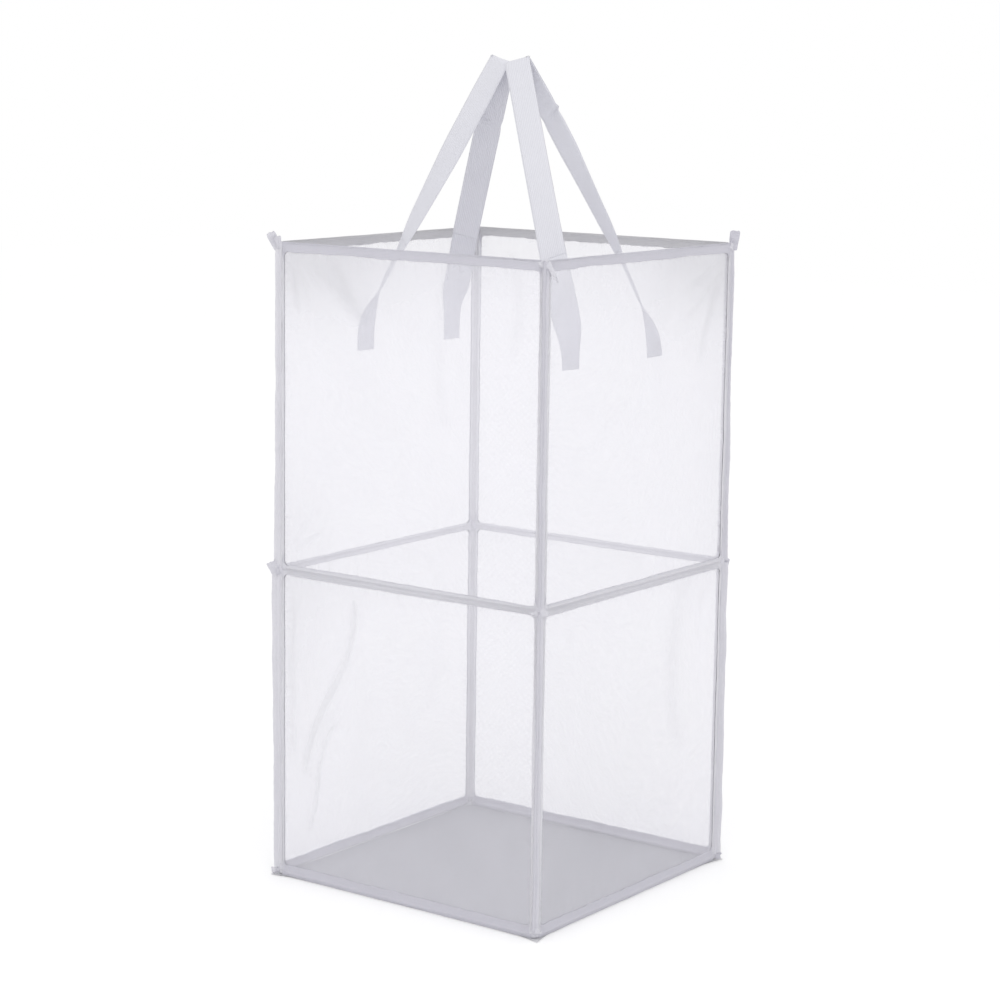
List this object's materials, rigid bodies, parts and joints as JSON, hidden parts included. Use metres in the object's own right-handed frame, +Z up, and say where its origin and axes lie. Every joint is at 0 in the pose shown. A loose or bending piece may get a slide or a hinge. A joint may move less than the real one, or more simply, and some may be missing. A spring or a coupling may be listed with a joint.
{
  "type": "pop up laundry hamper",
  "caption": "Tall square folding hamper of sheer mesh panels on taped wire hoops, with a cloth base and webbing handles that meet over the open top.",
  "frame": {"origin": "middle of the underside of the base cloth, on the floor", "axes": "+Z up, front panel facing -Y, right panel facing +X; the handles are sewn inside the left and right panels"},
  "size_m": [0.313, 0.313, 0.774],
  "materials": {
    "mesh": "sheer white mesh",
    "binding_tape": "white woven tape",
    "base_cloth": "pale grey woven cloth",
    "webbing": "white ribbed webbing",
    "spring_steel": "spring steel wire"
  },
  "bodies": {
    "front": {"base_cloth": "base_cloth", "front_lower_hoop": "spring_steel", "front_lower_crimp_sleeve": "spring_steel", "front_lower_tape": "binding_tape", "front_lower_mesh": "mesh", "front_upper_hoop": "spring_steel", "front_upper_crimp_sleeve": "spring_steel", "front_upper_tape": "binding_tape", "front_upper_mesh": "mesh", "front_left_lower_seam": "binding_tape", "front_left_upper_seam": "binding_tape", "front_left_tape_tail": "binding_tape", "front_right_lower_seam": "binding_tape", "front_right_upper_seam": "binding_tape", "front_right_tape_tail": "binding_tape"},
    "left": {"left_lower_hoop": "spring_steel", "left_lower_crimp_sleeve": "spring_steel", "left_lower_tape": "binding_tape", "left_lower_mesh": "mesh", "left_upper_hoop": "spring_steel", "left_upper_crimp_sleeve": "spring_steel", "left_upper_tape": "binding_tape", "left_upper_mesh": "mesh", "back_left_lower_seam": "binding_tape", "back_left_upper_seam": "binding_tape", "back_left_tape_tail": "binding_tape", "left_handle_front_end": "webbing", "left_handle_back_end": "webbing"},
    "right": {"right_lower_hoop": "spring_steel", "right_lower_crimp_sleeve": "spring_steel", "right_lower_tape": "binding_tape", "right_lower_mesh": "mesh", "right_upper_hoop": "spring_steel", "right_upper_crimp_sleeve": "spring_steel", "right_upper_tape": "binding_tape", "right_upper_mesh": "mesh", "back_right_lower_seam": "binding_tape", "back_right_upper_seam": "binding_tape", "back_right_tape_tail": "binding_tape", "right_handle_front_end": "webbing", "right_handle_back_end": "webbing"},
    "back": {"back_lower_hoop": "spring_steel", "back_lower_crimp_sleeve": "spring_steel", "back_lower_tape": "binding_tape", "back_lower_mesh": "mesh", "back_upper_hoop": "spring_steel", "back_upper_crimp_sleeve": "spring_steel", "back_upper_tape": "binding_tape", "back_upper_mesh": "mesh"},
    "left_straps": {"left_handle_front_strap": "webbing", "left_handle_back_strap": "webbing"},
    "left_grip": {"left_handle_grip": "webbing"},
    "right_straps": {"right_handle_front_strap": "webbing", "right_handle_back_strap": "webbing"},
    "right_grip": {"right_handle_grip": "webbing"}
  },
  "joints": [
    {"name": "fold", "type": "hinge", "parent": "front", "child": "left", "pos_m": [-0.1484, -0.1484, 0], "axis": [0, 0, -1], "range_deg": [0, 78], "stiffness_Nm_per_rad": 0.08, "springref_deg": -8.59, "deforming": ["base_cloth"]},
    {"name": "right_fold", "type": "hinge", "parent": "front", "child": "right", "pos_m": [0.1484, -0.1484, 0], "axis": [0, 0, -1], "range_deg": [0, 78]},
    {"name": "back_fold", "type": "hinge", "parent": "left", "child": "back", "pos_m": [-0.1484, 0.1484, 0], "axis": [0, 0, 1], "range_deg": [0, 78]},
    {"name": "left_strap_lean", "type": "hinge", "parent": "left", "child": "left_straps", "pos_m": [-0.1487, 0, 0.528], "axis": [0, -1, 0], "range_deg": [0, 19.27]},
    {"name": "right_strap_lean", "type": "hinge", "parent": "right", "child": "right_straps", "pos_m": [0.1487, 0, 0.528], "axis": [0, 1, 0], "range_deg": [0, 19.27]},
    {"name": "left_grip_swing", "type": "hinge", "parent": "left_straps", "child": "left_grip", "pos_m": [-0.09741, 0, 0.6201], "axis": [0, -1, 0], "range_deg": [0, 118]},
    {"name": "right_grip_swing", "type": "hinge", "parent": "right_straps", "child": "right_grip", "pos_m": [0.09741, 0, 0.6201], "axis": [0, 1, 0], "range_deg": [0, 118]}
  ],
  "couplings": [
    {"joint": "right_fold", "follows": "fold", "ratio": 1},
    {"joint": "back_fold", "follows": "fold", "ratio": 1},
    {"joint": "left_strap_lean", "follows": "fold", "ratio": 0.247},
    {"joint": "right_strap_lean", "follows": "fold", "ratio": 0.247}
  ]
}
